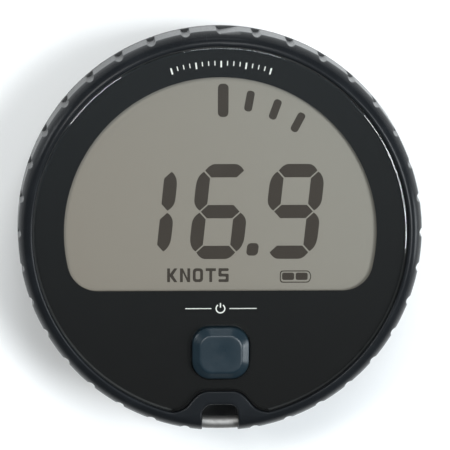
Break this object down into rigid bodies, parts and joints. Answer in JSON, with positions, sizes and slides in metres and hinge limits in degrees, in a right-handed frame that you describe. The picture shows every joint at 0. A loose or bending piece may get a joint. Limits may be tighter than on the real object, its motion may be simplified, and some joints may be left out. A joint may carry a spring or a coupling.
{
  "type": "round speed display",
  "caption": "Round handheld speed display with a grey segment window, a mode button, a fluted rubber ring, a lanyard bar and a battery door in its back.",
  "frame": {"origin": "centre of the flat back, on the surface the puck lies on", "axes": "+Z out of the display, +Y towards the display's top, +X to the display's right"},
  "size_m": [0.108, 0.108, 0.038],
  "materials": {
    "ring_rubber": "soft-touch satin, blue-grey",
    "stainless_steel": "brushed",
    "black_housing": "fine moulded texture",
    "clear_lens": "clear gloss acrylic",
    "black_print": "black print behind the lens",
    "display_glass": "grey reflective display with dark segments",
    "silver_film": "silver reflector film",
    "seal_rubber": "matt black",
    "button_blue": "satin slate blue",
    "chip_black": "moulded epoxy",
    "circuit_board": "green solder resist with tracks",
    "antenna_ceramic": "fired ceramic with a silvered patch",
    "cell_sleeve": "printed sleeve on a steel can",
    "contact_metal": "nickel-plated spring steel",
    "brass": "machined"
  },
  "bodies": {
    "case": {"bumper_ring": "ring_rubber", "lanyard_bar": "stainless_steel", "front_shell": "black_housing", "front_lens": "clear_lens", "window_mask": "black_print", "lcd_panel": "display_glass", "lcd_reflector": "silver_film", "zebra_strip": "seal_rubber", "lcd_frame": "black_housing", "tact_switch": "chip_black", "main_board": "circuit_board", "gps_antenna": "antenna_ceramic", "gps_module": "stainless_steel", "processor_chip": "chip_black", "flash_chip": "chip_black", "supply_coil": "chip_black", "board_screw_1": "stainless_steel", "board_screw_2": "stainless_steel", "board_screw_3": "stainless_steel", "board_screw_4": "stainless_steel", "back_shell": "black_housing", "case_seal": "seal_rubber", "case_screw_1": "stainless_steel", "case_screw_2": "stainless_steel", "case_screw_3": "stainless_steel", "case_screw_4": "stainless_steel", "case_screw_5": "stainless_steel", "case_screw_6": "stainless_steel", "battery_upper": "cell_sleeve", "battery_lower": "cell_sleeve", "contact_spring_upper": "contact_metal", "contact_spring_lower": "contact_metal", "contact_plate_bridge": "contact_metal", "contact_plate_upper": "contact_metal", "contact_plate_lower": "contact_metal", "contact_pin_positive": "brass", "contact_pin_negative": "brass", "screw_insert_left": "brass", "screw_insert_right": "brass"},
    "mode_button": {"button_cap": "button_blue", "button_o_ring": "seal_rubber", "switch_plunger": "seal_rubber"},
    "battery_door": {"battery_door": "black_housing", "door_gasket": "seal_rubber"},
    "door_screw_left": {"door_screw_left": "stainless_steel", "screw_clip_left": "seal_rubber"},
    "door_screw_right": {"door_screw_right": "stainless_steel", "screw_clip_right": "seal_rubber"}
  },
  "joints": [
    {"name": "mode_button_press", "type": "slide", "parent": "case", "child": "mode_button", "axis": [0, 0, -1], "range_m": [0, 0.0008], "stiffness_N_per_m": 900},
    {"name": "battery_door_lift", "type": "slide", "parent": "case", "child": "battery_door", "axis": [0, 0, -1], "range_m": [0, 0.03]},
    {"name": "door_screw_left_turn", "type": "hinge", "parent": "battery_door", "child": "door_screw_left", "pos_m": [-0.0352, 0, 0.002], "axis": [0, 0, 1], "continuous": true},
    {"name": "door_screw_right_turn", "type": "hinge", "parent": "battery_door", "child": "door_screw_right", "pos_m": [0.0352, 0, 0.002], "axis": [0, 0, 1], "continuous": true}
  ]
}
